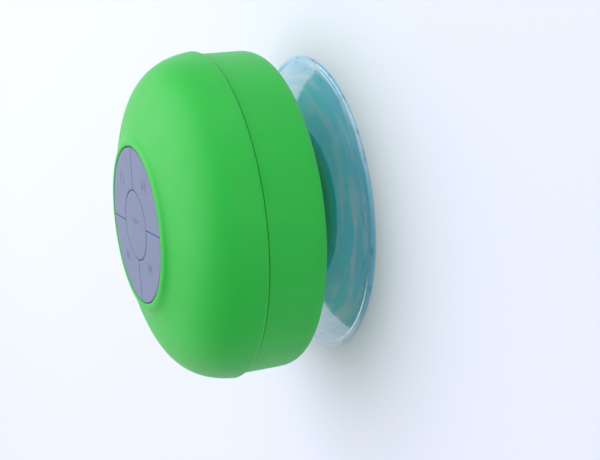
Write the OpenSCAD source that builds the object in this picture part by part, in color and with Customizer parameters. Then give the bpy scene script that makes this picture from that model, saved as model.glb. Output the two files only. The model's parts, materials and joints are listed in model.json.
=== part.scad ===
// Round shower speaker with a silicone jacket, a five-key pad and a clear suction cup.
// Origin: centre of the suction cup's sealing face. +Z runs along the axis to the keypad,
// +Y is the upper edge of the keypad, and the charging port is on the -Y side.

/* [Housing] */
// Radius of the domed front jacket at its rim
dome_r = 43; // [42.8:0.1:43.4]
// Height of the gap between the wall and the back of the housing
stand_off = 12.9; // [12.8:0.1:13]
// Height of the seam between the front and rear jackets
seam_z = 29.5; // [29.4:0.1:29.6]
// Depth of the dome, from the seam to the crease around the keypad
dome_h = 19.05; // [19:0.05:19.1]
// How far the rear jacket is set in from the dome's rim
band_inset = 0.85; // [0.75:0.05:0.95]
// Thickness of the silicone jackets
skin_t = 1.3; // [1.2:0.05:1.4]
// Thickness of the rigid front shell
shell_t = 1.8; // [1.6:0.1:1.9]
// Radius of the rear jacket's back corner
back_corner_r = 4.1; // [3.9:0.1:4.2]

/* [Keypad] */
// Radius of the keypad opening
pad_r = 20.45; // [20.4:0.05:20.5]
// Radius of the round centre key
centre_key_r = 8.95; // [8.7:0.05:9.2]
// Gap between neighbouring keys
key_gap = 0.3; // [0.25:0.05:0.4]
// Travel of a key
key_travel = 0.5; // [0.3:0.1:0.5]
// Distance of each outer switch from the axis, along X and along Y
switch_x = 9.9; // [9.5:0.1:10.2]
switch_y = 10.2; // [9.8:0.1:10.5]

/* [Suction cup] */
// Radius of the suction cup's rim, pressed flat
cup_r = 39.3; // [38:0.1:41]
// Radius of the cup's neck
cup_neck_r = 8.6; // [8.4:0.1:9]
// Radius of the shank that turns in the housing
stud_r = 5.95; // [5.9:0.01:5.95]

/* [Sound outlet] */
// Number of sound slots round the cup's socket
slot_count = 16; // [12:1:16]
// Width of each sound slot
slot_w = 2; // [1.6:0.1:2.2]

/* [Hidden] */
$fn = 96;

GREEN = [0.29, 0.74, 0.36];
KEY_GREY = [0.56, 0.6, 0.72];
CUP_BLUE = [0.55, 0.8, 0.86, 0.45];
SHELL_GREEN = [0.16, 0.56, 0.26];
RUBBER_BLACK = [0.06, 0.06, 0.06];
STEEL = [0.7, 0.71, 0.73];
FERRITE = [0.16, 0.16, 0.17];
BOARD_GREEN = [0.05, 0.3, 0.16];
FOIL = [0.78, 0.79, 0.8];
PAPER_CONE = [0.1, 0.1, 0.11];
CHIP_BLACK = [0.08, 0.08, 0.09];
WIRE_RED = [0.75, 0.1, 0.08];
EPS = 0.01;

// ---------- curves ----------

function bezier(p, s) =
    pow(1 - s, 3) * p[0] + 3 * pow(1 - s, 2) * s * p[1]
    + 3 * (1 - s) * s * s * p[2] + pow(s, 3) * p[3];

function bezier_slope(p, s) =
    3 * pow(1 - s, 2) * (p[1] - p[0]) + 6 * (1 - s) * s * (p[2] - p[1])
    + 3 * s * s * (p[3] - p[2]);

// Points of an arc in the (radius, height) plane
function arc(centre, r, from, to, steps) =
    [for (i = [0:steps]) let (a = from + (to - from) * i / steps)
        centre + r * [cos(a), sin(a)]];

// The lip that surrounds the keypad
lip_r = 2.4;
lip_top_z = seam_z + dome_h + 1.15;
lip_centre = [pad_r + 0.45, lip_top_z - lip_r];
lip_start_angle = 50;
crease = [pad_r + 2.58, lip_top_z - 1.24];

// The dome's outer curve, from its rim to the crease
rim_edge_h = 0.6;
dome_curve = [
    [dome_r, seam_z + rim_edge_h],
    [dome_r - 1.3, seam_z + 15.7],
    [crease[0] + 7.35, crease[1] - 2.85],
    crease
];
dome_steps = 18;

// The dome's curve, moved in by inset along its own normal
function dome_point(s, inset) =
    let (t = bezier_slope(dome_curve, s))
    bezier(dome_curve, s) - inset * [t[1], -t[0]] / norm(t);

function dome_points(inset) = [for (i = [0:dome_steps]) dome_point(i / dome_steps, inset)];

// The hollow that blends the dome into the lip
crease_steps = 5;
crease_from = dome_point(0.94, 0);
crease_low = crease + [0.1, 0];
crease_to = lip_centre + lip_r * [cos(lip_start_angle), sin(lip_start_angle)];
crease_points = [for (i = [0:crease_steps]) let (s = i / crease_steps)
    (1 - s) * (1 - s) * crease_from + 2 * s * (1 - s) * crease_low + s * s * crease_to];

function reversed(points) = [for (i = [len(points) - 1:-1:0]) points[i]];

// ---------- shared levels and radii ----------

band_r = dome_r - band_inset;
band_back_r = band_r - 0.2;
shell_r = band_r - skin_t;
shell_back_r = band_back_r - skin_t;
back_arc = [band_back_r - back_corner_r, stand_off + back_corner_r];
seam_gap = 0.3;
wall_in_r = shell_r - 1.95;
floor_top_z = 15.7;
back_disc_r = 24.8;
back_disc_z = stand_off + 0.2;
skin_back_r = 25;

plate_top_z = 47;
plate_bottom_z = plate_top_z - 1.4;
membrane_t = 0.3;
membrane_r = 21.4;
recess_r = 21.5;

board_top_z = 43;
board_t = 1.6;
board_bottom_z = board_top_z - board_t;
board_r = 27;

key_bottom_z = 47.9;
key_top_z = lip_top_z - 0.1;
key_crown = 0.24;
key_outer_r = pad_r - 0.25;
nub_r = 1.5;
nub_hole_r = 1.9;
stem_top_z = 45.2;
stem_bottom_z = 43.75;
stem_r = 1.2;
switch_h = 1.5;
switch_w = 4.5;

socket_throat_r = 6;
socket_throat_top_z = 15.2;
socket_chamber_r = 8.1;
socket_chamber_top_z = 19.7;
socket_r = 11.3;
socket_top_z = 20.9;

seat_in_r = 21.2;
seat_out_r = 24.4;
seat_top_z = 21;
gasket_top_z = 21.8;
flange_z = 22.2;
flange_top_z = 23;
driver_screw_r = 26.5;
driver_post_r = 2.6;

shell_screw_r = 34.9;
shell_boss_r = 4.2;
shell_post_r = 2.6;
shell_screw_head_z = 15.2;
shell_screw_shoulder_z = 17.2;
shell_screw_top_z = 37.6;
shell_boss_top_z = seam_z - 1.2;
seal_flange_r = 38.95;
seal_flange_z = seam_z + 1.4;

port_z = 21.5;
charge_board_bottom_z = 19;
charge_board_top_z = 20.2;
usb_w = 7.5;
usb_h = 2.6;
usb_front_y = -39.6;
usb_back_y = -34.2;

cover_half_w = 7;
cover_low_z = 17.5;
cover_axis_y = -(shell_r + 0.2);
cover_axis_z = 26;
cover_shoulder_z = cover_axis_z - 1.25;
cover_bead_r = 0.9;
cover_bead_half = 4.6;
cover_pin_r = 0.45;
cover_pin_half = 6.3;
cover_groove_r = 1.2;
cover_ear_in = 4.9;
cover_ear_out = 6.4;

magnet_r = 15;
coil_in_r = 6.25;

board_screw_r = 23.5;
board_post_r = 2.4;
mic_y = -13.2;
led_y = 13.2;

// ---------- building blocks ----------

module revolve(points) { rotate_extrude() polygon(points); }

module ring(r_out, r_in, z_low, z_high) {
    revolve([[r_in, z_low], [r_out, z_low], [r_out, z_high], [r_in, z_high]]);
}

module rod(r, z_low, z_high) { translate([0, 0, z_low]) cylinder(r = r, h = z_high - z_low); }

module block(low, high) { translate(low) cube(high - low); }

module around(count, r, first = 0) {
    for (i = [0:count - 1]) rotate([0, 0, first + i * 360 / count]) translate([r, 0, 0]) children();
}

// A screw with a pan head at its lower end, pointing up
module screw(head_r, head_z, shoulder_z, shank_r, tip_z) {
    slot_depth = 0.45 * (shoulder_z - head_z);
    difference() {
        union() {
            rod(head_r, head_z, shoulder_z);
            rod(shank_r, shoulder_z - EPS, tip_z);
        }
        for (a = [0, 90]) rotate([0, 0, a])
            block([-0.7 * head_r, -0.15 * head_r, head_z - 1],
                  [0.7 * head_r, 0.15 * head_r, head_z + slot_depth]);
    }
}

// A wire that stays in one plane: a tube of rings round a smooth curve through points
function catmull(p, i, s) =
    let (a = p[max(i - 1, 0)], b = p[i], c = p[i + 1], d = p[min(i + 2, len(p) - 1)])
    0.5 * (2 * b + (c - a) * s + (2 * a - 5 * b + 4 * c - d) * s * s
        + (3 * b - a - 3 * c + d) * s * s * s);

function smooth(p, steps) =
    [for (i = [0:len(p) - 2], k = [0:steps - 1]) catmull(p, i, k / steps), p[len(p) - 1]];

module wire(points, normal, r) {
    sides = 8;
    line = smooth(points, 4);
    last = len(line) - 1;
    function along(i) =
        let (d = i == 0 ? points[1] - points[0]
            : i == last ? points[len(points) - 1] - points[len(points) - 2]
            : line[i + 1] - line[i - 1]) d / norm(d);
    rings = [for (i = [0:last], k = [0:sides - 1])
        let (a = 360 * k / sides) line[i] + r * (cos(a) * normal + sin(a) * cross(along(i), normal))];
    walls = [for (i = [0:last - 1], k = [0:sides - 1])
        let (n = (k + 1) % sides)
        [i * sides + k, i * sides + n, (i + 1) * sides + n, (i + 1) * sides + k]];
    ends = [[for (k = [sides - 1:-1:0]) k], [for (k = [0:sides - 1]) last * sides + k]];
    polyhedron(points = rings, faces = [for (f = concat(walls, ends)) reversed(f)]);
}

// ---------- suction cup ----------

module suction_cup() color(CUP_BLUE) {
    dish_z = 3.6;
    hollow_r = 20.5;
    hollow_z = 1.4;
    head_r = 7.8;
    revolve(concat(
        [[0, hollow_z], [12, hollow_z], [hollow_r, 0], [cup_r - 0.3, 0], [cup_r, 0.25]],
        [[cup_r, 0.65], [cup_r - 0.4, 0.98], [cup_r - 0.9, 1.02], [cup_r - 1.5, 0.87], [cup_r - 2.2, 0.85]],
        [for (i = [1:6]) let (s = i / 6)
            bezier([[cup_r - 2.2, 0.85], [cup_r - 9, 2.2], [24, 3.4], [16, dish_z + 0.4]], s)],
        [for (i = [1:6]) let (s = i / 6)
            bezier([[16, dish_z + 0.4], [11.5, 4.8], [cup_neck_r, 6.2], [cup_neck_r, 9.5]], s)],
        [[cup_neck_r, back_disc_z - 0.8], [cup_neck_r - 0.5, back_disc_z - 0.3]],
        [[stud_r, back_disc_z - 0.3], [stud_r, socket_throat_top_z + 0.1]],
        [[head_r, socket_throat_top_z + 0.1], [head_r, 17.2], [head_r - 1.8, 19.3], [0, 19.3]]
    ));
}

// ---------- rear of the housing ----------

module rear_skin_solid(inner_gap = 0) {
    revolve(concat(
        [[skin_back_r, stand_off]],
        arc(back_arc, back_corner_r, -90, 0, 8),
        [[band_r, seam_z - seam_gap], [shell_r + inner_gap, seam_z - seam_gap]],
        arc(back_arc, back_corner_r - skin_t + inner_gap, 0, -90, 8),
        [[skin_back_r, stand_off + skin_t - inner_gap]]
    ));
}

module rear_skin() color(GREEN) difference() {
    rear_skin_solid();
    block([-cover_half_w - 0.3, -50, cover_low_z - 0.3], [cover_half_w + 0.3, -30, cover_axis_z + 1.4]);
}

module sound_slot() {
    slot_in_r = 13.2;
    slot_out_r = 20.2;
    linear_extrude(6) {
        translate([slot_in_r + slot_w / 2, -slot_w / 2]) square([slot_out_r - slot_in_r - slot_w, slot_w]);
        for (x = [slot_in_r, slot_out_r - slot_w]) translate([x + slot_w / 2, 0]) circle(slot_w / 2);
    }
}

// A round bar along the hinge line of the port cover
module across(r, x_low, x_high) {
    translate([x_low, cover_axis_y, cover_axis_z]) rotate([0, 90, 0]) cylinder(r = r, h = x_high - x_low);
}

// The ear that holds one end of the port cover's hinge pin
module cover_ear(side) {
    low = side > 0 ? cover_ear_in : -cover_ear_out;
    high = side > 0 ? cover_ear_out : -cover_ear_in;
    across(cover_bead_r, low, high);
    block([low, cover_axis_y + 0.1, cover_axis_z - 0.8], [high, -39.5, cover_axis_z + 0.8]);
}

module rear_shell() color(SHELL_GREEN) difference() {
    union() {
        revolve(concat(
            [[0, back_disc_z], [back_disc_r, back_disc_z], [back_disc_r, stand_off + skin_t]],
            arc(back_arc, back_corner_r - skin_t, -90, 0, 8),
            [[shell_r, seam_z], [wall_in_r, seam_z], [wall_in_r - 0.2, floor_top_z], [0, floor_top_z]]
        ));
        ring(seat_out_r, seat_in_r, floor_top_z - 0.5, seat_top_z);
        rod(socket_r, floor_top_z - 0.5, socket_top_z);
        around(4, driver_screw_r, 45) rod(driver_post_r, floor_top_z - 0.5, flange_z);
        around(4, shell_screw_r, 45) rod(shell_boss_r, floor_top_z - 0.5, shell_boss_top_z);
        for (x = [-5.2, 5.2]) translate([x, -29, 0]) rod(1.6, floor_top_z - 0.5, charge_board_bottom_z);
        for (s = [-1, 1]) cover_ear(s);
    }
    across(cover_groove_r, -cover_ear_in, cover_ear_in);
    across(cover_pin_r + 0.05, -cover_pin_half - 0.3, cover_pin_half + 0.3);
    rod(socket_throat_r, back_disc_z - 1, socket_throat_top_z + EPS);
    rod(socket_chamber_r, socket_throat_top_z, socket_chamber_top_z);
    around(slot_count, 0) translate([0, 0, back_disc_z - 1]) sound_slot();
    around(4, driver_screw_r, 45) rod(1.1, 17, flange_z + 1);
    around(4, shell_screw_r, 45) {
        rod(2.7, stand_off, shell_screw_shoulder_z);
        rod(1.35, shell_screw_shoulder_z - EPS, seam_z + 1);
    }
    for (x = [-5.2, 5.2]) translate([x, -29, 0]) rod(0.85, 16.1, charge_board_bottom_z + 1);
    block([-4.4, -50, port_z - 2], [4.4, -35, port_z + 2.2]);
    ring(40.3, 39.3, seam_z - 1, seam_z + 1);
}

module acoustic_mesh() color(CHIP_BLACK)
    ring(seat_in_r - 0.1, socket_r + 0.1, floor_top_z, floor_top_z + 0.3);

module shell_seal() color(RUBBER_BLACK)
    rotate_extrude() translate([39.8, seam_z - 0.5]) circle(r = 0.48, $fn = 24);

module shell_screws() color(STEEL) around(4, shell_screw_r, 45)
    screw(2.4, shell_screw_head_z, shell_screw_shoulder_z, 1.2, shell_screw_top_z);

// ---------- loudspeaker ----------

module driver_gasket() color(RUBBER_BLACK) ring(23.6, 21.4, seat_top_z, gasket_top_z);

module driver_surround() color(RUBBER_BLACK) {
    roll = [18.8, gasket_top_z];
    revolve(concat(
        [[23.6, gasket_top_z], [23.6, flange_z], [20.55, flange_z]],
        arc(roll, 1.75, 0, -180, 12),
        [[17.05, flange_z], [15.8, flange_z], [15.8, gasket_top_z]],
        arc(roll, 2.1, -180, 0, 12)
    ));
}

module driver_basket() color(STEEL) difference() {
    union() {
        revolve([
            [21, flange_z], [24, flange_z], [24, flange_top_z], [22, flange_top_z],
            [15.8, 28], [15.8, 29.7], [9, 29.7], [9, 29], [13.4, 29], [13.4, 28.3],
            [15, 28.3], [15, 27.8], [21, 22.95]
        ]);
        around(4, driver_screw_r, 45) rod(2.9, flange_z, flange_top_z);
        for (i = [0:3]) rotate([0, 0, 45 + 90 * i])
            block([22.5, -2.9, flange_z], [driver_screw_r, 2.9, flange_top_z]);
        block([-5, 22.5, flange_z], [5, 28, flange_top_z]);
    }
    around(4, driver_screw_r, 45) rod(1.3, flange_z - 1, flange_top_z + 1);
    for (i = [0:3]) rotate([0, 0, 90 * i]) block([13, -6, 23.6], [24, 6, 27.4]);
}

module driver_top_plate() color(STEEL) ring(14.2, 7.3, 29.7, 31.5);

module driver_magnet() color(FERRITE) ring(magnet_r, 8.4, 31.5, 34.4);

module driver_yoke() color(STEEL) revolve([
    [1.5, 29.9], [6, 29.9], [6, 34.4], [14.2, 34.4], [14.2, 35.4], [1.5, 35.4]
]);

// The spider's corrugation: a wave that dies out before the edge that is glued down
spider_in_r = 6.6;
spider_out_r = 14.8;
spider_radii = [for (i = [0:28]) spider_in_r + (spider_out_r - spider_in_r) * i / 28];
function spider_wave(r, z) = z - (r < 13 ? 0.45 * sin(360 * (r - spider_in_r) / 1.6) : 0);

module driver_spider() color([0.75, 0.62, 0.35]) revolve(concat(
    [for (r = spider_radii) [r, spider_wave(r, 28)]],
    [for (r = reversed(spider_radii)) [r, spider_wave(r, 28.3)]]
));

module driver_terminals() color([0.5, 0.36, 0.16]) {
    block([-4.5, 24.3, flange_top_z], [4.5, 27.7, flange_top_z + 0.8]);
    for (x = [-2.2, 2.2]) translate([x, 26, 0]) rod(0.9, flange_top_z + 0.8, flange_top_z + 1.3);
}

module driver_screws() color(STEEL) around(4, driver_screw_r, 45)
    mirror([0, 0, 1]) screw(2.2, -24.4, -flange_top_z, 1.05, -17.2);

module driver_cone() color(PAPER_CONE) revolve([
    [16.9, flange_z], [16.9, 22.6], [15.9, 22.6], [6.55, 27.3], [6.55, 26.8], [15.7, flange_z]
]);

module dust_cap() color(PAPER_CONE) {
    cap_z = 23.6;
    cap_r = 12.8;
    edge_angle = 35.3;
    centre = [0, cap_z + cap_r];
    revolve(concat(
        arc(centre, cap_r, -90, -90 + edge_angle, 8),
        arc(centre, cap_r - 0.3, -90 + edge_angle, -90, 8)
    ));
}

module voice_coil() color([0.72, 0.42, 0.2]) revolve([
    [coil_in_r, 26.5], [6.5, 26.5], [6.5, 29.2], [7, 29.2],
    [7, 32], [6.5, 32], [6.5, 32.4], [coil_in_r, 32.4]
]);

// ---------- charging port ----------

module charge_board() color(BOARD_GREEN) difference() {
    block([-7, -37.2, charge_board_bottom_z], [7, -26.6, charge_board_top_z]);
    for (x = [-5.2, 5.2]) translate([x, -29, 0]) rod(0.95, 18, 21);
}

module charge_board_screws() color(STEEL) for (x = [-5.2, 5.2]) translate([x, -29, 0])
    mirror([0, 0, 1]) screw(1.5, -21.2, -charge_board_top_z, 0.8, -16.4);

module usb_port_shell() color(FOIL) {
    wall = 0.3;
    z0 = charge_board_top_z;
    difference() {
        block([-usb_w / 2, usb_front_y, z0], [usb_w / 2, usb_back_y, z0 + usb_h]);
        block([-usb_w / 2 + wall, usb_front_y - 1, z0 + wall],
              [usb_w / 2 - wall, usb_back_y - wall, z0 + usb_h - wall]);
        for (s = [-1, 1]) translate([s * usb_w / 2, 0, z0]) rotate([0, s * 45, 0])
            block([-0.5, usb_front_y - 1, -0.8], [0.5, usb_back_y + 1, 0.8]);
    }
}

module usb_port_tongue() color(CHIP_BLACK) {
    z0 = charge_board_top_z;
    block([-3.1, usb_back_y - 1.4, z0 + 0.35], [3.1, usb_back_y - 0.35, z0 + usb_h - 0.35]);
    block([-2, usb_front_y + 0.9, z0 + 1.35], [2, usb_back_y - 1.4 + EPS, z0 + 1.85]);
}

module port_cover() color(GREEN) {
    intersection() {
        rear_skin_solid(0.1);
        union() {
            block([-cover_half_w, -50, cover_low_z], [cover_half_w, -30, cover_shoulder_z]);
            block([-cover_bead_half, -50, cover_low_z], [cover_bead_half, -30, cover_axis_z]);
        }
    }
    across(cover_bead_r, -cover_bead_half, cover_bead_half);
    across(cover_pin_r, -cover_pin_half, cover_pin_half);
    block([-3.9, -41.2, port_z - 1.3], [3.9, -39.8, port_z + 1.6]);
    block([-2.6, -42.5, cover_low_z + 0.1], [2.6, -41.4, cover_low_z + 0.9]);
}

// ---------- battery and wiring ----------

battery_low = [-15, -10, 35.9];
battery_high = [15, 10, 40.9];

module battery() color(FOIL) difference() {
    block(battery_low, battery_high);
    for (x = [battery_low[0], battery_high[0]], z = [battery_low[2], battery_high[2]])
        translate([x, 0, z]) rotate([0, 45, 0]) cube([1.2, 50, 1.2], center = true);
}

module battery_tape() color([0.85, 0.82, 0.55]) block([-13, -8, battery_high[2]], [13, 8, board_bottom_z]);

module battery_plug() color([0.9, 0.88, 0.8]) difference() {
    block([18.6, -3, 38.1], [22.9, 3, board_bottom_z]);
    for (y = [-1.5, 1.5]) block([18, y - 0.7, 38.8], [20, y + 0.7, 40.4]);
}

module battery_leads() color(WIRE_RED) for (y = [-1.5, 1.5])
    wire([[15, y, 38], [16, y, 38], [17.4, y, 39.3], [19, y, 39.6], [20, y, 39.6]], [0, 1, 0], 0.45);

module driver_leads() color(WIRE_RED) for (x = [-2.2, 2.2])
    wire([[x, 26, 24.3], [x, 26, 26], [x, 28, 32], [x, 26.5, 37], [x, 24.5, 40], [x, 24.5, board_bottom_z]],
         [1, 0, 0], 0.45);

module charge_leads() color(WIRE_RED) for (x = [-2, 2])
    wire([[x, -28, charge_board_top_z], [x, -28, 22], [x, -30, 28], [x, -28.5, 35], [x, -24.5, 39.5],
          [x, -24.5, board_bottom_z]], [1, 0, 0], 0.45);

// ---------- main board ----------

outer_switches = [
    [-switch_x, switch_y], [switch_x, switch_y],
    [-switch_x, -switch_y], [switch_x, -switch_y]
];
switches = concat([[0, 0]], outer_switches);

module main_board() color(BOARD_GREEN) difference() {
    rod(board_r, board_bottom_z, board_top_z);
    around(3, board_screw_r, 30) rod(0.95, board_bottom_z - 1, board_top_z + 1);
}

module board_screws() color(STEEL) around(3, board_screw_r, 30) screw(1.7, 40.2, board_bottom_z, 0.8, 44.8);

module board_chips() color(CHIP_BLACK) {
    block([-21, -2.5, board_top_z], [-16, 2.5, board_top_z + 1.2]);
    for (y = [-6.5, 5]) block([-20, y, board_top_z], [-17.5, y + 1.5, board_top_z + 0.9]);
    for (y = [-18.5, 16]) block([-1.5, y, board_top_z], [1.5, y + 2.5, board_top_z + 1]);
    for (x = [-6, 4]) block([x, 18.5, board_top_z], [x + 2, 19.7, board_top_z + 0.8]);
    block([-3, 4.8, board_top_z], [3, 7.6, board_top_z + 0.9]);
}

module radio_module() color(FOIL) {
    block([13.6, -5, board_top_z], [23, 5, board_top_z + 0.6]);
    block([14.2, -4.4, board_top_z + 0.6], [20.6, 4.4, board_top_z + 1.8]);
}

module switch_bodies() color(CHIP_BLACK) for (p = switches) translate([p[0], p[1], 0]) difference() {
    half_w = switch_w / 2;
    block([-half_w, -half_w, board_top_z], [half_w, half_w, board_top_z + switch_h]);
    rod(stem_r + 0.1, board_top_z + 0.2, board_top_z + switch_h + 1);
}

module switch_stem(p) color([0.75, 0.2, 0.15])
    translate([p[0], p[1], 0]) rod(stem_r, stem_bottom_z, stem_top_z);
module switch_stem_centre() { switch_stem(switches[0]); }
module switch_stem_power() { switch_stem(switches[1]); }
module switch_stem_play() { switch_stem(switches[2]); }
module switch_stem_previous() { switch_stem(switches[3]); }
module switch_stem_next() { switch_stem(switches[4]); }

module status_led() color([0.9, 0.9, 0.95]) translate([0, led_y, 0]) {
    block([-0.8, -0.6, board_top_z], [0.8, 0.6, board_top_z + 0.3]);
    rod(0.55, board_top_z + 0.3 - EPS, board_top_z + 0.8);
}

module light_pipe() color([0.85, 0.9, 0.95]) translate([0, led_y, 0]) {
    rod(1.5, plate_bottom_z - 0.6, plate_bottom_z);
    rod(0.9, plate_bottom_z - EPS, plate_top_z);
}

module microphone() color(STEEL) translate([0, mic_y, 0]) difference() {
    rod(2, board_top_z, board_top_z + 1.5);
    rod(0.5, board_top_z + 1, board_top_z + 2);
}

module microphone_boot() color(RUBBER_BLACK)
    translate([0, mic_y, 0]) ring(2, 0.9, board_top_z + 1.5, plate_bottom_z);

// ---------- front of the housing ----------

// Everything inside the dome, moved in from its outer surface
module dome_solid(inset) {
    curve = dome_points(inset);
    revolve(concat([[0, seam_z], [curve[0][0], seam_z]], curve, [[0, curve[dome_steps][1]]]));
}

module front_shell() color(SHELL_GREEN) difference() {
    union() {
        outer = dome_points(skin_t);
        inner = dome_points(skin_t + shell_t);
        revolve(concat(
            [[seal_flange_r, seam_z], [outer[0][0], seam_z]], outer,
            [[recess_r, plate_top_z + membrane_t], [recess_r, plate_top_z]],
            [[0, plate_top_z], [0, plate_bottom_z], [recess_r, plate_bottom_z]],
            [for (i = [dome_steps - 1:-1:1]) inner[i]],
            [[inner[0][0] - 0.1, seal_flange_z], [seal_flange_r, seal_flange_z]]
        ));
        around(4, shell_screw_r, 45) rod(shell_post_r, shell_boss_top_z, 36);
        intersection() {
            around(4, shell_screw_r, 45) rod(shell_post_r, 35, 42);
            dome_solid(skin_t + 0.6);
        }
        around(3, board_screw_r, 30) rod(board_post_r, board_top_z, plate_bottom_z + 0.3);
    }
    around(4, shell_screw_r, 45) rod(1.25, shell_boss_top_z - 1, shell_screw_top_z + 0.4);
    around(3, board_screw_r, 30) rod(0.85, board_top_z - 1, 45.1);
    for (p = switches) translate([p[0], p[1], 0]) rod(nub_hole_r, plate_bottom_z - 1, plate_top_z + 1);
    translate([0, led_y, 0]) rod(0.95, plate_bottom_z - 1, plate_top_z + 1);
    translate([0, mic_y, 0]) rod(0.7, plate_bottom_z - 1, plate_top_z + 1);
}

module front_skin() color(GREEN) {
    inner = dome_points(skin_t);
    revolve(concat(
        [[inner[0][0], seam_z], [dome_r - 0.35, seam_z], [dome_r - 0.08, seam_z + 0.2]],
        [for (i = [0:dome_steps - 2]) dome_point(i / dome_steps, 0)],
        crease_points,
        arc(lip_centre, lip_r, lip_start_angle + 8, 90, 4),
        [[pad_r + 0.1, lip_top_z - 0.1], [pad_r, lip_top_z - 0.3], [pad_r, plate_top_z + membrane_t]],
        [[recess_r, plate_top_z + membrane_t]],
        reversed(inner)
    ));
}

module keypad_membrane() color(KEY_GREY) difference() {
    rod(membrane_r, plate_top_z, plate_top_z + membrane_t);
    for (p = switches) translate([p[0], p[1], 0]) rod(nub_hole_r, plate_top_z - 1, plate_top_z + 1);
    translate([0, mic_y, 0]) rod(0.6, plate_top_z - 1, plate_top_z + 1);
}

// ---------- keys ----------

// The pad's slightly crowned top, as a solid that trims the keys
module key_envelope() {
    crown_steps = 6;
    revolve(concat(
        [[0, key_bottom_z], [key_outer_r, key_bottom_z]],
        [for (i = [crown_steps:-1:0]) let (s = i / crown_steps)
            [key_outer_r * s, key_top_z + key_crown * (1 - s * s)]]
    ));
}

module key_nub(p) { translate([p[0], p[1], 0]) rod(nub_r, stem_top_z, key_bottom_z + EPS); }

module outer_key(p) color(KEY_GREY) {
    sx = sign(p[0]);
    sy = sign(p[1]);
    far = pad_r + 1;
    intersection() {
        key_envelope();
        difference() {
            block([sx > 0 ? key_gap / 2 : -far, sy > 0 ? key_gap / 2 : -far, key_bottom_z - 1],
                  [sx > 0 ? far : -key_gap / 2, sy > 0 ? far : -key_gap / 2, lip_top_z + 2]);
            rod(centre_key_r + key_gap, key_bottom_z - 2, lip_top_z + 3);
        }
    }
    key_nub(p);
}

module key_centre() color(KEY_GREY) {
    intersection() {
        key_envelope();
        rod(centre_key_r, key_bottom_z - 1, lip_top_z + 2);
    }
    key_nub(switches[0]);
}

module key_power() { outer_key(switches[1]); }
module key_play() { outer_key(switches[2]); }
module key_previous() { outer_key(switches[3]); }
module key_next() { outer_key(switches[4]); }

// ---------- output ----------

suction_cup();
rear_skin();
rear_shell();
acoustic_mesh();
shell_seal();
shell_screws();
driver_gasket();
driver_surround();
driver_basket();
driver_top_plate();
driver_magnet();
driver_yoke();
driver_spider();
driver_terminals();
driver_screws();
driver_cone();
dust_cap();
voice_coil();
charge_board();
charge_board_screws();
usb_port_shell();
usb_port_tongue();
port_cover();
battery();
battery_tape();
battery_plug();
battery_leads();
driver_leads();
charge_leads();
main_board();
board_screws();
board_chips();
radio_module();
switch_bodies();
status_led();
light_pipe();
microphone();
microphone_boot();
front_shell();
front_skin();
keypad_membrane();
key_centre();
key_power();
key_play();
key_previous();
key_next();
switch_stem_centre();
switch_stem_power();
switch_stem_play();
switch_stem_previous();
switch_stem_next();
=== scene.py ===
import json
import math

import bpy
import bmesh
import numpy as np
from mathutils import Matrix, Vector


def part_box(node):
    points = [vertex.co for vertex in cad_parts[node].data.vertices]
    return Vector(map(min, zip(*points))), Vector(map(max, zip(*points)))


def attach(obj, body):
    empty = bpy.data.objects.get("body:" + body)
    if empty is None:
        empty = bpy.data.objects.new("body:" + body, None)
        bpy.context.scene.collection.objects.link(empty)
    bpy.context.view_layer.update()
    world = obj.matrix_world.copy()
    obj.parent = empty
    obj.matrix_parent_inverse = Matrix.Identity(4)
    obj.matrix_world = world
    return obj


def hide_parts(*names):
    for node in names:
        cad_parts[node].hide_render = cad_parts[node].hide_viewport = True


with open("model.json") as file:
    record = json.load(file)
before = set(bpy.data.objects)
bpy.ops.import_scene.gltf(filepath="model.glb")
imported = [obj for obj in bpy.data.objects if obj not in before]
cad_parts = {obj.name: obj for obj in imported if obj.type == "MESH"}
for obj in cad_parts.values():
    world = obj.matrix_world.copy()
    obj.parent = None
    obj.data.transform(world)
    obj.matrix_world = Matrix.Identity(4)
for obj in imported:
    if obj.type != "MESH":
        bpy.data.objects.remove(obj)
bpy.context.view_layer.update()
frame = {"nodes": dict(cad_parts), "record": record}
scene = bpy.context.scene
NODES = frame["nodes"]
MM = 0.001


def mm(node):
    """A CAD node's box in millimetres."""
    low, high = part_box(node)
    return [x / MM for x in low], [x / MM for x in high]


# ---------------------------------------------------------------- camera

camera = bpy.data.objects.new("Camera", bpy.data.cameras.new("Camera"))
scene.collection.objects.link(camera)
scene.camera = camera
camera.data.sensor_width = 36.0
camera.data.lens = 90.0
camera.data.clip_start = 0.01
camera.data.clip_end = 20.0
CAM_POS = Vector((0.36792, 0.07312, 0.15112))
CAM_LOOK = Vector((-0.9103, -0.1989, -0.3630)).normalized()
CAM_UP = Vector((-0.1619, 0.9782, -0.1298))
CAM_UP = (CAM_UP - CAM_UP.dot(CAM_LOOK) * CAM_LOOK).normalized()
CAM_RIGHT = CAM_LOOK.cross(CAM_UP)
camera.matrix_world = Matrix(
    (
        (CAM_RIGHT.x, CAM_UP.x, -CAM_LOOK.x, CAM_POS.x),
        (CAM_RIGHT.y, CAM_UP.y, -CAM_LOOK.y, CAM_POS.y),
        (CAM_RIGHT.z, CAM_UP.z, -CAM_LOOK.z, CAM_POS.z),
        (0, 0, 0, 1),
    )
)
scene.view_settings.view_transform = "Standard"

# ---------------------------------------------------------------- materials


def linear(r, g, b):
    """Linear colour of an sRGB 0-255 one."""
    out = []
    for v in (r, g, b):
        v /= 255
        out.append(v / 12.92 if v <= 0.04045 else ((v + 0.055) / 1.055) ** 2.4)
    return (*out, 1)


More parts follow.
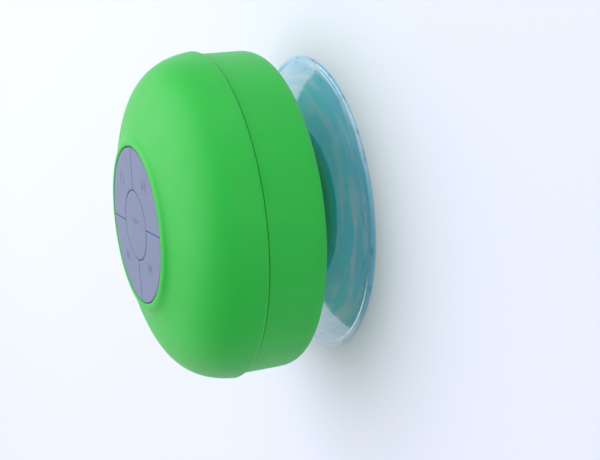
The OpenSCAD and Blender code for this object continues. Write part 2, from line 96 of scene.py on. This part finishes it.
class Mat:
    """A Principled material with helpers for procedural detail in object millimetres."""

    def __init__(self, name, colour, rough, metallic=0.0, specular=0.5):
        self.m = bpy.data.materials.new(name)
        self.m.use_nodes = True
        self.nt = self.m.node_tree
        self.nt.nodes.clear()
        self.out = self.nt.nodes.new("ShaderNodeOutputMaterial")
        self.p = self.nt.nodes.new("ShaderNodeBsdfPrincipled")
        self.link(self.p.outputs[0], self.out.inputs["Surface"])
        self.p.inputs["Base Color"].default_value = colour
        self.p.inputs["Roughness"].default_value = rough
        self.p.inputs["Metallic"].default_value = metallic
        self.p.inputs["Specular IOR Level"].default_value = specular
        self.coord = self.nt.nodes.new("ShaderNodeTexCoord").outputs["Object"]
        self.colour = colour
        self.rough = rough

    def link(self, a, b):
        self.nt.links.new(a, b)

    def noise(self, scale, detail=2.0, stretch=None, coord=None):
        """Noise over the object's own coordinates, or over coord."""
        coord = coord or self.coord
        if stretch:
            mapping = self.nt.nodes.new("ShaderNodeMapping")
            mapping.inputs["Scale"].default_value = stretch
            self.link(coord, mapping.inputs["Vector"])
            coord = mapping.outputs[0]
        n = self.nt.nodes.new("ShaderNodeTexNoise")
        n.inputs["Scale"].default_value = scale
        n.inputs["Detail"].default_value = detail
        self.link(coord, n.inputs["Vector"])
        return n.outputs[0]

    def span(self, value, low, high, low_in=0.3, high_in=0.7):
        """Maps low_in..high_in of a value to low..high, without going past either end."""
        r = self.nt.nodes.new("ShaderNodeMapRange")
        r.inputs["From Min"].default_value = low_in
        r.inputs["From Max"].default_value = high_in
        r.inputs["To Min"].default_value = low
        r.inputs["To Max"].default_value = high
        self.link(value, r.inputs["Value"])
        return r.outputs[0]

    def vary_rough(self, scale, amount):
        self.link(
            self.span(self.noise(scale), self.rough - amount, self.rough + amount),
            self.p.inputs["Roughness"],
        )
        return self

    def vary_colour(self, scale, amount, stretch=None):
        mix = self.nt.nodes.new("ShaderNodeMix")
        mix.data_type = "RGBA"
        dark = [c * (1 - amount) for c in self.colour[:3]]
        light = [min(1, c * (1 + amount)) for c in self.colour[:3]]
        mix.inputs[6].default_value = (*dark, 1)
        mix.inputs[7].default_value = (*light, 1)
        self.link(self.span(self.noise(scale, 3.0, stretch=stretch), 0, 1), mix.inputs[0])
        self.link(mix.outputs[2], self.p.inputs["Base Color"])
        return self

    def math(self, operation, a, b=None):
        n = self.nt.nodes.new("ShaderNodeMath")
        n.operation = operation
        for socket, value in zip(n.inputs, (a, b)):
            if isinstance(value, (int, float)):
                socket.default_value = value
            elif value is not None:
                self.link(value, socket)
        return n.outputs[0]

    def polar(self, turns, rings):
        """Coordinates that run around the Z axis and out from it, and the radius in metres."""
        split = self.nt.nodes.new("ShaderNodeSeparateXYZ")
        self.link(self.coord, split.inputs[0])
        x, y = split.outputs[0], split.outputs[1]
        squares = self.math("ADD", self.math("MULTIPLY", x, x), self.math("MULTIPLY", y, y))
        radius = self.math("SQRT", squares)
        around = self.nt.nodes.new("ShaderNodeCombineXYZ")
        self.link(self.math("MULTIPLY", self.math("ARCTAN2", y, x), turns), around.inputs[0])
        self.link(self.math("MULTIPLY", radius, rings), around.inputs[1])
        return around.outputs[0], radius

    def blend(self, factor, a, b):
        """A colour between a and b, each a value or a socket."""
        mix = self.nt.nodes.new("ShaderNodeMix")
        mix.data_type = "RGBA"
        self.link(factor, mix.inputs[0])
        for socket, value in ((mix.inputs[6], a), (mix.inputs[7], b)):
            if isinstance(value, tuple):
                socket.default_value = value
            else:
                self.link(value, socket)
        return mix.outputs[2]

    def bump(self, scale, height, strength=1.0, detail=2.0, stretch=None):
        b = self.nt.nodes.new("ShaderNodeBump")
        b.inputs["Strength"].default_value = strength
        b.inputs["Distance"].default_value = height
        self.link(self.noise(scale, detail, stretch=stretch), b.inputs["Height"])
        self.link(b.outputs[0], self.p.inputs["Normal"])
        return self


def plastic(name, rgb, rough):
    return (
        Mat(name, linear(*rgb), rough)
        .vary_colour(180, 0.05)
        .vary_rough(260, 0.05)
        .bump(2600, 0.00002, 0.3)
        .m
    )


def metal(name, rgb, rough, stretch=(1, 1, 14)):
    return (
        Mat(name, linear(*rgb), rough, metallic=1.0)
        .vary_colour(300, 0.06, stretch=stretch)
        .vary_rough(500, 0.08)
        .bump(900, 0.00002, 0.3, stretch=stretch)
        .m
    )


def silicone(name, rgb, rough, sheen):
    """Soft matt silicone with a fine moulded grain."""
    mat = Mat(name, linear(*rgb), rough, specular=0.35)
    mat.p.inputs["Sheen Weight"].default_value = sheen
    mat.p.inputs["Sheen Roughness"].default_value = 0.5
    return mat.vary_colour(90, 0.02).vary_rough(140, 0.03).bump(5200, 0.000012, 0.35, 3).m


def clear_plastic(name, rgb, rough, clear_part, shadow):
    """A see-through plastic whose shadow is only tinted, as the light that it lets through would be."""
    mat = Mat(name, linear(*rgb), rough)
    mat.p.inputs["Transmission Weight"].default_value = clear_part
    mat.p.inputs["IOR"].default_value = 1.5
    mat.vary_rough(60, 0.02)
    clear = mat.nt.nodes.new("ShaderNodeBsdfTransparent")
    clear.inputs[0].default_value = linear(*shadow)
    path = mat.nt.nodes.new("ShaderNodeLightPath")
    mix = mat.nt.nodes.new("ShaderNodeMixShader")
    mat.link(path.outputs["Is Shadow Ray"], mix.inputs[0])
    mat.link(mat.p.outputs[0], mix.inputs[1])
    mat.link(clear.outputs[0], mix.inputs[2])
    mat.link(mix.outputs[0], mat.out.inputs["Surface"])
    return mat


def cup_vinyl():
    """Clear blue vinyl, bluer at the rim, with dark streaks round it. The green over the neck is a painted
    reflection of the green jacket, and the pale streaks round it are painted highlights.
    """
    mat = clear_plastic("ClearVinyl", (84, 238, 255), 0.04, 0.94, (225, 250, 255))
    mat.p.inputs["Coat Weight"].default_value = 1.0
    mat.p.inputs["Coat Roughness"].default_value = 0.12
    mat.p.inputs["Coat IOR"].default_value = 1.6
    around, radius = mat.polar(1.7, 300)
    outer = mat.span(radius, 0, 1, 0.030, 0.0365)
    film = mat.blend(outer, mat.colour, linear(100, 206, 240))
    # Painted highlights: pale streaks in the vinyl's colour over the outer skirt stand in for reflections
    # of the bright surroundings.
    painted_glint = mat.span(mat.noise(1.0, 2.5, coord=around), 0, 1, 0.47, 0.7)
    painted_glint = mat.math("MULTIPLY", painted_glint, mat.span(radius, 0.2, 0.9, 0.024, 0.031))
    film = mat.blend(painted_glint, film, linear(205, 244, 255))
    fine, _ = mat.polar(7.0, 700)
    dark = mat.span(mat.noise(1.0, 1.0, coord=fine), 0, 1, 0.62, 0.68)
    dark = mat.math("MULTIPLY", dark, mat.span(radius, 0, 0.7, 0.0345, 0.0355))
    film = mat.blend(dark, film, linear(40, 140, 150))
    # Painted reflection: inside the neck radius the vinyl's colour turns green and stands in for the green
    # jacket reflected in it.
    neck = mat.span(radius, 0, 1, 0.0185, 0.0208)
    mat.link(mat.blend(neck, linear(84, 205, 148), film), mat.p.inputs["Base Color"])
    b = mat.nt.nodes.new("ShaderNodeBump")
    b.inputs["Strength"].default_value = 0.25
    b.inputs["Distance"].default_value = 0.0006
    ripple, _ = mat.polar(3.0, 200)
    mat.link(mat.noise(1.0, 1.5, coord=ripple), b.inputs["Height"])
    mat.link(b.outputs[0], mat.p.inputs["Normal"])
    mat.link(b.outputs[0], mat.p.inputs["Coat Normal"])
    return mat.m


GREEN = silicone("JacketSilicone", (34, 184, 60), 0.5, 0.08)
KEY = silicone("KeySilicone", (110, 122, 156), 0.55, 0.1)
ICON = plastic("IconInk", (91, 100, 133), 0.6)
VINYL = cup_vinyl()

PAINT = {
    "jacket_silicone": GREEN,
    "key_silicone": KEY,
    "clear_vinyl": VINYL,
    "shell_plastic": plastic("ShellPlastic", (30, 150, 58), 0.45),
    "mesh_cloth": plastic("MeshCloth", (26, 26, 28), 0.9),
    "black_rubber": plastic("BlackRubber", (28, 28, 28), 0.7),
    "screw_steel": metal("ScrewSteel", (190, 190, 194), 0.3),
    "pressed_steel": plastic("PressedSteel", (48, 48, 50), 0.4),
    "plated_steel": metal("PlatedSteel", (200, 198, 190), 0.28),
    "ferrite": plastic("Ferrite", (46, 46, 48), 0.6),
    "spider_cloth": plastic("SpiderCloth", (190, 140, 60), 0.8),
    "terminal_board": plastic("TerminalBoard", (140, 96, 50), 0.6),
    "paper": plastic("ConePaper", (40, 40, 42), 0.85),
    "coil_copper": metal("CoilCopper", (206, 124, 76), 0.3, (1, 1, 40)),
    "board_laminate": plastic("BoardLaminate", (22, 92, 56), 0.35),
    "tinned_steel": metal("TinnedSteel", (206, 206, 208), 0.25),
    "black_nylon": plastic("BlackNylon", (30, 30, 32), 0.5),
    "battery_foil": metal("BatteryFoil", (204, 206, 210), 0.4),
    "foam_tape": plastic("FoamTape", (226, 222, 190), 0.85),
    "ivory_nylon": plastic("IvoryNylon", (232, 226, 206), 0.5),
    "wire_vinyl": plastic("WireVinyl", (186, 34, 28), 0.4),
    "chip_epoxy": plastic("ChipEpoxy", (34, 34, 36), 0.55),
    "clear_epoxy": plastic("ClearEpoxy", (232, 234, 226), 0.15),
    "clear_acrylic": clear_plastic("ClearAcrylic", (232, 240, 244), 0.03, 1.0, (240, 244, 246)).m,
    "stem_nylon": plastic("StemNylon", (190, 50, 40), 0.45),
}
for row in frame["record"]["subparts"]:
    node = NODES[row["node"]]
    node.data.materials.clear()
    node.data.materials.append(PAINT[row["material_slot"]])

# ---------------------------------------------------------------- mesh helpers


def add(name, verts, faces, material, body, nodes=(), sharp=35):
    """Links a mesh whose vertices are in millimetres and sets what it stands for."""
    mesh = bpy.data.meshes.new(name)
    mesh.from_pydata([[c * MM for c in v] for v in verts], [], faces)
    mesh.validate()
    bm = bmesh.new()
    bm.from_mesh(mesh)
    bmesh.ops.recalc_face_normals(bm, faces=bm.faces)
    bm.to_mesh(mesh)
    bm.free()
    mesh.shade_smooth()
    mesh.set_sharp_from_angle(angle=math.radians(sharp))
    mesh.materials.append(material)
    obj = bpy.data.objects.new(name, mesh)
    scene.collection.objects.link(obj)
    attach(obj, body)
    if nodes:
        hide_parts(*nodes)
    return obj


def lathe_mesh(profile, segments=240):
    """Vertices and faces of a closed outline turned about the Z axis. Points on the axis become poles."""
    verts, faces, rings = [], [], []
    for r, z in profile:
        if r < 1e-6:
            rings.append([len(verts)])
            verts.append((0, 0, z))
        else:
            rings.append(list(range(len(verts), len(verts) + segments)))
            for k in range(segments):
                a = 2 * math.pi * k / segments
                verts.append((r * math.cos(a), r * math.sin(a), z))
    for i in range(len(rings)):
        a, b = rings[i], rings[(i + 1) % len(rings)]
        if len(a) == 1 and len(b) == 1:
            continue
        for k in range(segments):
            n = (k + 1) % segments
            if len(a) == 1:
                faces.append((a[0], b[n], b[k]))
            elif len(b) == 1:
                faces.append((a[k], a[n], b[0]))
            else:
                faces.append((a[k], a[n], b[n], b[k]))
    return verts, faces


def rounded(points, steps=6):
    """Rounds each corner of an outline of (r, z, radius). A curve reaches at most 0.49 of a side."""
    out = []
    n = len(points)
    for i, p in enumerate(points):
        here = Vector(p[:2])
        radius = p[2]
        if radius <= 0:
            out.append((here.x, here.y))
            continue
        before = Vector(points[i - 1][:2]) - here
        after = Vector(points[(i + 1) % n][:2]) - here
        half = before.angle(after) / 2
        reach = min(radius / math.tan(half), 0.49 * before.length, 0.49 * after.length)
        a, b = here + before.normalized() * reach, here + after.normalized() * reach
        for k in range(steps + 1):
            t = k / steps
            q = a.lerp(here, t).lerp(here.lerp(b, t), t)
            out.append((q.x, q.y))
    return out


def bezier(p, t):
    p = [np.array(q, float) for q in p]
    s = 1 - t
    return s**3 * p[0] + 3 * s * s * t * p[1] + 3 * s * t * t * p[2] + t**3 * p[3]


def bezier_slope(p, t):
    p = [np.array(q, float) for q in p]
    s = 1 - t
    return (
        3 * s * s * (p[1] - p[0]) + 6 * s * t * (p[2] - p[1]) + 3 * t * t * (p[3] - p[2])
    )


# ---------------------------------------------------------------- front jacket

skin_low, skin_high = mm("front_skin")
DOME_R, SEAM_Z, LIP_TOP = skin_high[0], skin_low[2], skin_high[2]
PAD_OUT = mm("key_play")[1][0]
PAD_R = PAD_OUT + 0.25
PAD_FLOOR_Z = LIP_TOP - 2.3
LIP_R = 2.4
RIM = 0.9
SKIN_T = 1.3
lip_centre = np.array([PAD_R + 0.45, LIP_TOP - LIP_R])
crease = np.array([PAD_R + 2.58, LIP_TOP - 1.24])
DOME = [
    (DOME_R, SEAM_Z + 0.6),
    (DOME_R - 1.3, SEAM_Z + 15.7),
    (crease[0] + 7.35, crease[1] - 2.85),
    tuple(crease),
]


def lip(angle):
    a = math.radians(angle)
    return lip_centre + LIP_R * np.array([math.cos(a), math.sin(a)])


def front_outline():
    """The dome from its lower rim over the crease and the lip to the keypad, and back along its inside."""
    outer = [bezier(DOME, t) for t in np.linspace(0, 0.94, 60)]
    blend_a, blend_b = outer[-1], lip(50)
    valley = crease + np.array([0.1, 0.0])
    fillet = [
        (1 - t) ** 2 * blend_a + 2 * (1 - t) * t * valley + t * t * blend_b
        for t in np.linspace(0, 1, 14)[1:]
    ]
    top = [lip(a) for a in range(54, 95, 4)]
    points = [(DOME_R - 1.6, SEAM_Z)]
    for k in range(9):
        a = math.radians(-90 + 90 * k / 8)
        points.append(
            (DOME_R - RIM + RIM * math.cos(a), SEAM_Z + RIM + RIM * math.sin(a))
        )
    outer = [q for q in outer if q[1] > SEAM_Z + RIM + 0.1]
    points += [tuple(p) for p in outer + fillet + top]
    points += [(PAD_R + 0.08, LIP_TOP - 0.14), (PAD_R, LIP_TOP - 0.35)]
    points += [(PAD_R, PAD_FLOOR_Z), (PAD_R + 1.05, PAD_FLOOR_Z)]
    for t in np.linspace(0.97, 0, 24):
        slope = bezier_slope(DOME, t)
        slope /= np.linalg.norm(slope)
        q = bezier(DOME, t) - SKIN_T * np.array([slope[1], -slope[0]])
        points.append((q[0], max(q[1], SEAM_Z)))
    return points


verts, faces = lathe_mesh(front_outline(), 320)
add("FrontJacket", verts, faces, GREEN, "housing", ["front_skin"])

# ---------------------------------------------------------------- rear jacket

band_low, band_high = mm("rear_skin")
BACK_Z, BAND_TOP = band_low[2], band_high[2]
BAND_R = DOME_R - 0.85
BAND_BACK_R = BAND_R - 0.2
BAND_EDGE_Z = BAND_TOP + 0.12
BACK_IN_Z = BACK_Z + 1.29
BACK_HOLE = 25.0
BACK_ROUND = 4.8
rear_outline = rounded(
    [
        (BACK_HOLE, BACK_Z, 0.3),
        (BAND_BACK_R - 0.02, BACK_Z, BACK_ROUND),
        (BAND_R, BAND_EDGE_Z, 0.3),
        (BAND_R - 1.28, BAND_EDGE_Z, 0),
        (BAND_R - 1.45, BACK_Z + 4.5, 0),
        (BAND_BACK_R - 4.0, BACK_IN_Z, 0),
        (BACK_HOLE, BACK_IN_Z, 0),
    ],
    10,
)
verts, faces = lathe_mesh(rear_outline, 320)
rear = add("RearJacket", verts, faces, GREEN, "housing", ["rear_skin"])
cover_low, cover_high = mm("port_cover")


def cut_box(obj, low, high):
    """Cuts a rounded box out of obj, both in millimetres."""
    bm = bmesh.new()
    bmesh.ops.create_cube(bm, size=1)
    for v in bm.verts:
        for i in range(3):
            v.co[i] = (low[i] if v.co[i] < 0 else high[i]) * MM
    edges = [e for e in bm.edges if abs(e.verts[0].co.y - e.verts[1].co.y) > 0.001]
    bmesh.ops.bevel(bm, geom=edges, offset=0.9 * MM, segments=6, profile=0.5, affect="EDGES")
    mesh = bpy.data.meshes.new("cutter")
    bm.to_mesh(mesh)
    bm.free()
    cutter = bpy.data.objects.new("cutter", mesh)
    scene.collection.objects.link(cutter)
    mod = obj.modifiers.new("cut", "BOOLEAN")
    mod.operation, mod.object, mod.solver = "DIFFERENCE", cutter, "EXACT"
    bpy.context.view_layer.update()
    dg = bpy.context.evaluated_depsgraph_get()
    made = bpy.data.meshes.new_from_object(obj.evaluated_get(dg))
    obj.modifiers.clear()
    obj.data = made
    made.shade_smooth()
    made.set_sharp_from_angle(angle=math.radians(35))
    bpy.data.objects.remove(cutter)


FLAP_GAP = 0.3
FLAP_POCKET_Z = (17.2, 27.4)
cut_box(
    rear,
    (cover_low[0] - FLAP_GAP, -50, FLAP_POCKET_Z[0]),
    (cover_high[0] + FLAP_GAP, -30, FLAP_POCKET_Z[1]),
)

# ---------------------------------------------------------------- suction cup

CUP_R, _, CUP_TOP = mm("suction_cup")[1]
CUP_FLOOR_R = 12.0
SEAL_R = 20.5
SKIRT_R = 16.0
NECK_R = 8.6
EDGE_R = 0.45
LIP_IN_R = CUP_R - 2.2


def curve(points, steps):
    """Points on a Bezier curve at the given steps along it."""
    return [tuple(bezier(points, t)) for t in steps]


cup_outline = [(0, 1.4), (CUP_FLOOR_R, 1.4)]
cup_outline += curve([(CUP_FLOOR_R, 1.4), (14.5, 1.35), (18, 0.1), (SEAL_R, 0.0)], np.linspace(0.1, 1, 10))
cup_outline += [(30, 0.0), (CUP_R - EDGE_R, 0.0)]
cup_outline += [
    (CUP_R - EDGE_R + EDGE_R * math.sin(a), EDGE_R - EDGE_R * math.cos(a))
    for a in np.linspace(0.3, 2.2, 8)
]
rim = [(CUP_R - 0.4, 0.95), (CUP_R - 1.0, 1.35), (CUP_R - 1.5, 0.75), (LIP_IN_R, 0.85)]
skirt = [(LIP_IN_R, 0.85), (CUP_R - 9, 2.2), (24, 3.4), (SKIRT_R, 4.0)]
neck = [(SKIRT_R, 4.0), (11.5, 4.8), (NECK_R, 6.2), (NECK_R, 9.5)]
cup_outline += curve(rim, np.linspace(0.12, 1, 9))
cup_outline += curve(skirt, np.linspace(0, 1, 20)[1:])
cup_outline += curve(neck, np.linspace(0, 1, 16)[1:])
cup_outline += [(NECK_R, 12.3), (8.45, 12.62), (8.1, 12.8)]
cup_outline += [(5.95, 12.8), (5.95, 15.3), (7.8, 15.3), (7.8, 17.2), (7.6, 17.8)]
cup_outline += [(6.2, 19.1), (5.6, CUP_TOP), (0, CUP_TOP)]
verts, faces = lathe_mesh(cup_outline, 256)
add("SuctionCup", verts, faces, VINYL, "mount", ["suction_cup"])

# ---------------------------------------------------------------- keys

KEY_BOTTOM = 47.9
KEY_EDGE_Z = LIP_TOP - 0.1
CROWN = 0.22
CENTRE_R = mm("key_centre")[1][0] + 0.04
GAP = 0.22
ROUND = 0.2


def crown(r):
    """Height of the keypad's slightly domed top."""
    return KEY_EDGE_Z + CROWN * (1 - (r / PAD_OUT) ** 2)


def drop(d):
    """How far the rounded edge of a key lies below its top, d from the key's outline."""
    return 0 if d >= ROUND else ROUND - math.sqrt(max(0, ROUND**2 - (ROUND - d) ** 2))


BORDER = [0, 0.008, 0.03, 0.07, 0.13, ROUND]


def lines(length, middle):
    """Distances from one side of a strip to the other, fine near both sides."""
    inner = np.linspace(ROUND, length - ROUND, middle + 2)[1:-1]
    return BORDER + list(inner) + [length - d for d in reversed(BORDER)]


def outer_key(name, node, body, sx, sy):
    """A quarter of the ring round the centre key. sx and sy say which; its corners are rounded too."""
    low_r, high_r = CENTRE_R + GAP, PAD_OUT
    across, rows = lines(high_r - low_r, 14), 30
    grid = []
    for u in across:
        r = low_r + u
        a = math.asin((GAP / 2) / r)
        span = r * (math.pi / 2 - 2 * a)
        for_row = []
        inner = np.linspace(0, 1, rows + 2)[1:-1]
        along = BORDER + [ROUND + s * (span - 2 * ROUND) for s in inner]
        along += [span - d for d in reversed(BORDER)]
        for v in along:
            dr = min(u, high_r - low_r - u)
            dv = min(v, span - v)
            x, y = ROUND - dr, ROUND - dv
            h = math.hypot(x, y)
            rr, vv = r, v
            d = min(dr, dv)
            if x > 0 and y > 0:
                d = ROUND - h
                if h > ROUND:
                    k = ROUND / h
                    ndr, ndv = ROUND - x * k, ROUND - y * k
                    rr += (ndr - dr) * (1 if u < (high_r - low_r) / 2 else -1)
                    vv += (ndv - dv) * (1 if v < span / 2 else -1)
                    d = 0
            angle = a + vv / r
            z = crown(rr) - drop(max(0, d))
            for_row.append((sx * rr * math.cos(angle), sy * rr * math.sin(angle), z))
        grid.append(for_row)
    return grid_solid(name, grid, node, body)


def grid_solid(name, grid, node, body):
    """Closes a top surface given as rows of points with straight walls down to the key's underside."""
    n, m = len(grid), len(grid[0])
    verts = [p for row in grid for p in row]
    faces = [
        (i * m + j, i * m + j + 1, (i + 1) * m + j + 1, (i + 1) * m + j)
        for i in range(n - 1)
        for j in range(m - 1)
    ]
    edge = list(range(m)) + [i * m + m - 1 for i in range(1, n)]
    edge += [(n - 1) * m + j for j in range(m - 2, -1, -1)] + [i * m for i in range(n - 2, 0, -1)]
    base = len(verts)
    verts += [(verts[k][0], verts[k][1], KEY_BOTTOM) for k in edge]
    e = len(edge)
    for i in range(e):
        k = (i + 1) % e
        faces.append((edge[i], edge[k], base + k, base + i))
    faces.append(tuple(base + i for i in range(e)))
    return add(name, verts, faces, KEY, body, [node], 50)


def centre_key():
    outline = [(0, crown(0))]
    outline += [(r, crown(r)) for r in np.linspace(1, CENTRE_R - ROUND, 10)]
    for d in reversed(BORDER[:-1]):
        outline.append((CENTRE_R - d, crown(CENTRE_R - d) - drop(d)))
    outline += [(CENTRE_R, KEY_BOTTOM), (0, KEY_BOTTOM)]
    v, f = lathe_mesh(outline, 160)
    return add("KeyCentre", v, f, KEY, "centre_key", ["key_centre"], 50)


centre_key()
outer_key("KeyPower", "key_power", "power_key", -1, 1)
outer_key("KeyPlay", "key_play", "play_key", 1, 1)
outer_key("KeyPrevious", "key_previous", "previous_key", -1, -1)
outer_key("KeyNext", "key_next", "next_key", 1, -1)

# ---------------------------------------------------------------- icons

INK_LIFT = 0.012


def ink(name, body, shapes):
    """Flat printed shapes, each an outline in millimetres on the keypad, a hair above the key."""
    verts, faces = [], []
    for shape in shapes:
        base = len(verts)
        verts += [(x, y, crown(math.hypot(x, y)) + INK_LIFT) for x, y in shape]
        faces.append(tuple(range(base, len(verts))))
    mesh = bpy.data.meshes.new(name)
    mesh.from_pydata([[c * MM for c in v] for v in verts], [], faces)
    mesh.materials.append(ICON)
    obj = bpy.data.objects.new(name, mesh)
    scene.collection.objects.link(obj)
    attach(obj, body)
    return obj


def stroke(points, width):
    """Quads along a line, with mitred joints."""
    quads = []
    pts = [Vector(p) for p in points]
    sides = []
    for i, p in enumerate(pts):
        a = (p - pts[i - 1]).normalized() if i > 0 else None
        b = (pts[i + 1] - p).normalized() if i < len(pts) - 1 else None
        d = (a or b) + (b or a)
        d.normalize()
        n = Vector((-d.y, d.x)) * width / 2
        if a is not None and b is not None:
            n /= max(0.5, d.dot(b))
        sides.append((p + n, p - n))
    for (a, b), (c, d) in zip(sides, sides[1:]):
        quads.append([tuple(a), tuple(c), tuple(d), tuple(b)])
    return quads


def arc_points(cx, cy, r, a0, a1, n=24):
    angles = [math.radians(a0 + (a1 - a0) * i / n) for i in range(n + 1)]
    return [(cx + r * math.cos(a), cy + r * math.sin(a)) for a in angles]


def at(x, y, shape):
    return [(x + px, y + py) for px, py in shape]


LINE_W = 0.42
SIDE_X = 9.9
TRACK_Y = -9.6
POWER_Y = 11.0
PLAY_Y = 11.4
CALL = (0.6, 3.1, 2.3)
power = stroke(arc_points(-SIDE_X, POWER_Y, 1.6, 125, 415), LINE_W)
power += stroke([(-SIDE_X, 11.3), (-SIDE_X, 13.0)], LINE_W)
ink("IconPower", "power_key", power)
play = [at(SIDE_X, PLAY_Y, [(-1.7, -1.5), (0.3, 0), (-1.7, 1.5)])]
for x in (0.65, 1.4):
    play.append(at(SIDE_X, PLAY_Y, [(x, -1.5), (x + LINE_W, -1.5), (x + LINE_W, 1.5), (x, 1.5)]))
ink("IconPlay", "play_key", play)
previous = [at(-SIDE_X, TRACK_Y, [(x + 1.25, -1.4), (x + 1.25, 1.4), (x, 0)]) for x in (-1.2, 0.05)]
previous += [at(-SIDE_X, TRACK_Y, [(-1.65, -1.4), (-1.28, -1.4), (-1.28, 1.4), (-1.65, 1.4)])]
ink("IconPrevious", "previous_key", previous)
following = [at(SIDE_X, TRACK_Y, [(x - 1.25, 1.4), (x - 1.25, -1.4), (x, 0)]) for x in (1.2, -0.05)]
following += [at(SIDE_X, TRACK_Y, [(1.28, -1.4), (1.65, -1.4), (1.65, 1.4), (1.28, 1.4)])]
ink("IconNext", "next_key", following)
handset = stroke(arc_points(*CALL, 215, 325, 16), 0.5)
handset += stroke(arc_points(*CALL, 215, 236, 6), 1.0)
handset += stroke(arc_points(*CALL, 304, 325, 6), 1.0)
ink("IconCall", "centre_key", handset)
ink("MicDot", "centre_key", [arc_points(-1.7, -1.3, 0.35, 0, 345, 23)])

# ---------------------------------------------------------------- floor and light

floor_mesh = bpy.data.meshes.new("Floor")
FLOOR = 6
corners = [(x * FLOOR, y * FLOOR, 0) for x, y in ((-1, -1), (1, -1), (1, 1), (-1, 1))]
floor_mesh.from_pydata(corners, [], [(0, 1, 2, 3)])
floor = bpy.data.objects.new("Floor", floor_mesh)
scene.collection.objects.link(floor)
floor.location.z = 0.00002
floor_mat = Mat("Floor", linear(202, 206, 222), 0.6).vary_colour(3, 0.01)
floor_mat.p.inputs["Emission Color"].default_value = (0.92, 0.95, 1.0, 1)
floor_mat.p.inputs["Emission Strength"].default_value = 0.16
floor_mesh.materials.append(floor_mat.m)

centre = Vector((0, 0, 0.03))


def area_light(name, position, size, power):
    """A round soft light aimed at the speaker."""
    data = bpy.data.lights.new(name, "AREA")
    data.shape = "DISK"
    data.size = size
    data.energy = power
    lamp = bpy.data.objects.new(name, data)
    scene.collection.objects.link(lamp)
    lamp.location = position
    aim = centre - Vector(position)
    lamp.rotation_euler = aim.to_track_quat("-Z", "Y").to_euler()
    return lamp


def from_view(right, up, back, distance):
    """A point at a distance from the speaker, in the directions of the photo's view."""
    d = (CAM_RIGHT * right + CAM_UP * up - CAM_LOOK * back).normalized()
    return centre + d * distance


area_light("Key", from_view(-1.0, 0.25, 0.1, 1.0), 1.6, 13.4)
area_light("Front", from_view(0.35, 0.1, 1.0, 1.2), 1.0, 3.8)
area_light("Upper", (0.3, 1.2, 0.2), 0.5, 2.2)
area_light("Back", (-1.2, 0.1, 0.35), 1.0, 1.5)
area_light("BackLower", (-0.9, -0.85, 0.35), 1.2, 1.9)

world = bpy.data.worlds.new("World")
scene.world = world
world.use_nodes = True
sky = world.node_tree.nodes["Background"]
sky.inputs["Color"].default_value = (0.95, 0.97, 1.0, 1)
sky.inputs["Strength"].default_value = 0.42
